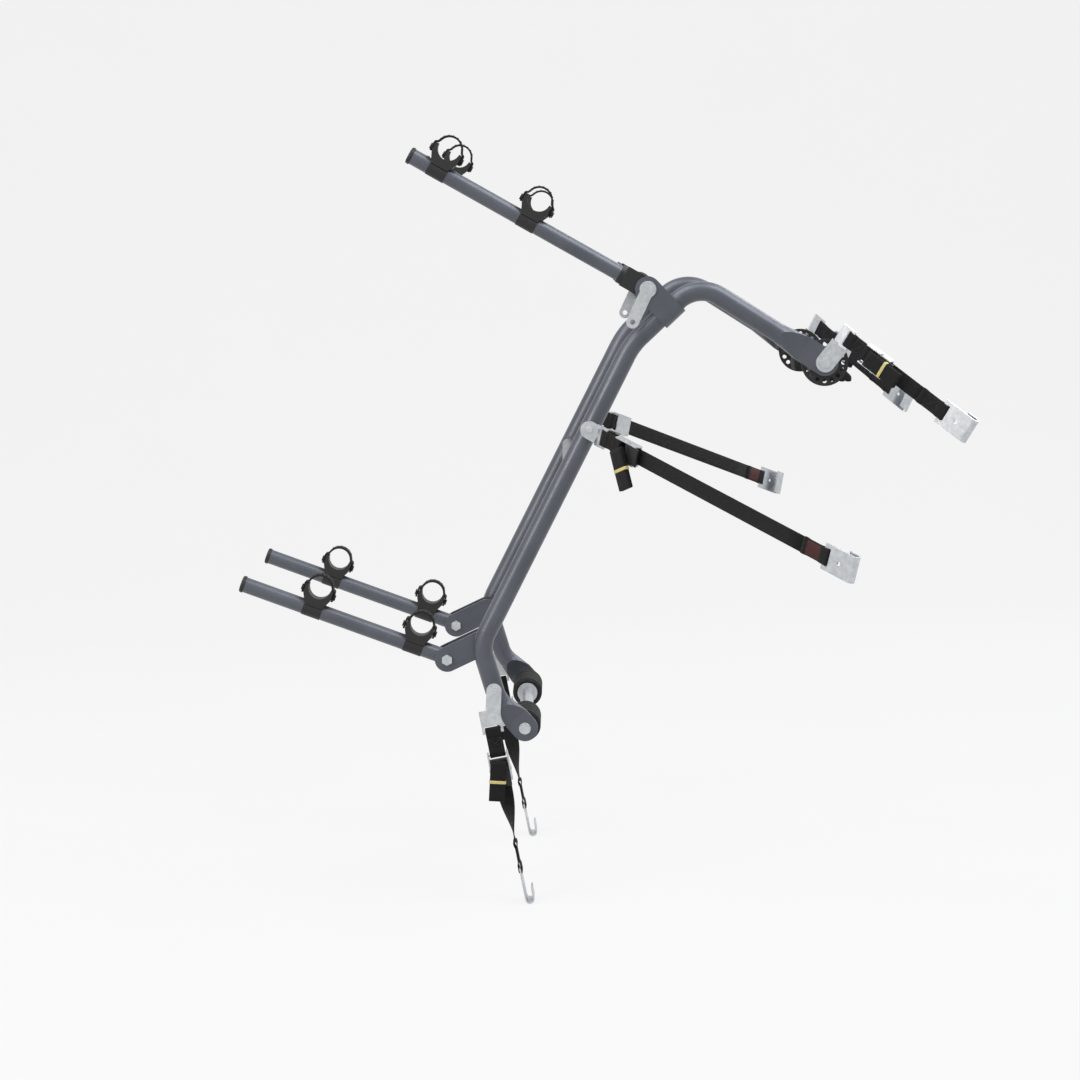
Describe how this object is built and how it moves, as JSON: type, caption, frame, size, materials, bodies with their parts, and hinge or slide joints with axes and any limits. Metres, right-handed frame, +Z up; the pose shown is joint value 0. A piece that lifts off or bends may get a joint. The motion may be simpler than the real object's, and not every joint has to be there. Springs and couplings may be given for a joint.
{
  "type": "trunk mounted bike rack",
  "caption": "Strap-on bike rack for a car trunk: bent steel tubes on a roller bar and a roof pad bar, folding arms with cradles, cam buckle straps with hooks",
  "frame": {"origin": "the middle of the lower foot bar's axis, which rests on the car's trunk", "axes": "+X across the car, +Y towards the car, +Z up"},
  "size_m": [1.2522, 1.1507, 1.2136],
  "materials": {
    "frame_paint": "satin",
    "zinc": "zinc plated",
    "black_plastic": "moulded",
    "rubber": "matte",
    "webbing": "woven",
    "band": "matte"
  },
  "bodies": {
    "rack": {"main_tube_right": "frame_paint", "main_tube_left": "frame_paint", "upper_cross_tube": "frame_paint", "lower_cross_tube": "frame_paint", "upper_arm_brackets": "frame_paint", "lower_arm_brackets": "frame_paint", "arm_pivot_bolts": "zinc", "arm_latch_tabs": "zinc", "roof_strap_brackets": "zinc", "side_strap_brackets": "zinc", "lower_strap_brackets": "zinc", "strap_bracket_bolts": "zinc", "lower_foot_bar": "zinc", "lower_foot_bolts": "zinc", "roller_washers": "zinc", "roof_strap_right": "webbing", "roof_strap_left": "webbing", "side_strap_right": "webbing", "side_strap_left": "webbing", "lower_strap_right": "webbing", "lower_strap_left": "webbing", "roof_buckles": "zinc", "side_buckles": "zinc", "lower_buckles": "zinc", "buckle_pins": "zinc", "strap_bands": "band", "roof_hooks": "zinc", "side_hooks": "zinc", "lower_hooks": "zinc"},
    "roof_foot": {"roof_foot_bar": "zinc", "index_discs": "black_plastic", "roof_pads": "rubber", "roof_foot_bolts": "zinc"},
    "roller_right": {"roller_right": "rubber"},
    "roller_left": {"roller_left": "rubber"},
    "upper_arm_right": {"upper_arm_tube_right": "frame_paint", "upper_knuckle_right": "black_plastic", "upper_cap_right": "black_plastic", "upper_cradles_right": "black_plastic", "upper_cradle_straps_right": "rubber"},
    "lower_arm_right": {"lower_arm_tube_right": "frame_paint", "lower_cap_right": "black_plastic", "lower_cradles_right": "black_plastic", "lower_cradle_straps_right": "rubber"},
    "roof_lever_right": {"roof_lever_right": "black_plastic"},
    "side_lever_right": {"side_lever_right": "black_plastic"},
    "lower_lever_right": {"lower_lever_right": "black_plastic"},
    "upper_arm_left": {"upper_arm_tube_left": "frame_paint", "upper_knuckle_left": "black_plastic", "upper_cap_left": "black_plastic", "upper_cradles_left": "black_plastic", "upper_cradle_straps_left": "rubber"},
    "lower_arm_left": {"lower_arm_tube_left": "frame_paint", "lower_cap_left": "black_plastic", "lower_cradles_left": "black_plastic", "lower_cradle_straps_left": "rubber"},
    "roof_lever_left": {"roof_lever_left": "black_plastic"},
    "side_lever_left": {"side_lever_left": "black_plastic"},
    "lower_lever_left": {"lower_lever_left": "black_plastic"}
  },
  "joints": [
    {"name": "roof_foot_tilt", "type": "hinge", "parent": "rack", "child": "roof_foot", "pos_m": [0, 0.47108, 0.58328], "axis": [1, 0, 0], "range_deg": [-35, 35]},
    {"name": "roller_right_spin", "type": "hinge", "parent": "rack", "child": "roller_right", "pos_m": [0.147, 0, 0], "axis": [1, 0, 0], "continuous": true},
    {"name": "upper_arm_right_fold", "type": "hinge", "parent": "rack", "child": "upper_arm_right", "pos_m": [0.21, 0.19203, 0.69805], "axis": [1, 0, 0], "range_deg": [0, 78]},
    {"name": "lower_arm_right_fold", "type": "hinge", "parent": "rack", "child": "lower_arm_right", "pos_m": [0.1762, -0.12456, 0.10795], "axis": [1, 0, 0], "range_deg": [-90, 0]},
    {"name": "roof_lever_right_press", "type": "hinge", "parent": "rack", "child": "roof_lever_right", "pos_m": [0.26042, 0.54578, 0.58554], "axis": [0.3104, 0.4454, 0.8398], "range_deg": [0, 16], "stiffness_Nm_per_rad": 0.5, "springref_deg": -5.73},
    {"name": "side_lever_right_press", "type": "hinge", "parent": "rack", "child": "side_lever_right", "pos_m": [0.28571, 0.15968, 0.44803], "axis": [0.2149, 0.1925, 0.9575], "range_deg": [0, 16], "stiffness_Nm_per_rad": 0.5, "springref_deg": -5.73},
    {"name": "lower_lever_right_press", "type": "hinge", "parent": "rack", "child": "lower_lever_right", "pos_m": [0.23305, -0.03875, -0.06165], "axis": [0, 0.9818, 0.1902], "range_deg": [0, 16], "stiffness_Nm_per_rad": 0.5, "springref_deg": -5.73},
    {"name": "roller_left_spin", "type": "hinge", "parent": "rack", "child": "roller_left", "pos_m": [-0.147, 0, 0], "axis": [1, 0, 0], "continuous": true},
    {"name": "upper_arm_left_fold", "type": "hinge", "parent": "rack", "child": "upper_arm_left", "pos_m": [-0.21, 0.19203, 0.69805], "axis": [1, 0, 0], "range_deg": [0, 78]},
    {"name": "lower_arm_left_fold", "type": "hinge", "parent": "rack", "child": "lower_arm_left", "pos_m": [-0.1762, -0.12456, 0.10795], "axis": [1, 0, 0], "range_deg": [-90, 0]},
    {"name": "roof_lever_left_press", "type": "hinge", "parent": "rack", "child": "roof_lever_left", "pos_m": [-0.26042, 0.54578, 0.58554], "axis": [0.3104, -0.4454, -0.8398], "range_deg": [0, 16], "stiffness_Nm_per_rad": 0.5, "springref_deg": -5.73},
    {"name": "side_lever_left_press", "type": "hinge", "parent": "rack", "child": "side_lever_left", "pos_m": [-0.28571, 0.15968, 0.44803], "axis": [0.2149, -0.1925, -0.9575], "range_deg": [0, 16], "stiffness_Nm_per_rad": 0.5, "springref_deg": -5.73},
    {"name": "lower_lever_left_press", "type": "hinge", "parent": "rack", "child": "lower_lever_left", "pos_m": [-0.23305, -0.03875, -0.06165], "axis": [0, -0.9818, -0.1902], "range_deg": [0, 16], "stiffness_Nm_per_rad": 0.5, "springref_deg": -5.73}
  ]
}
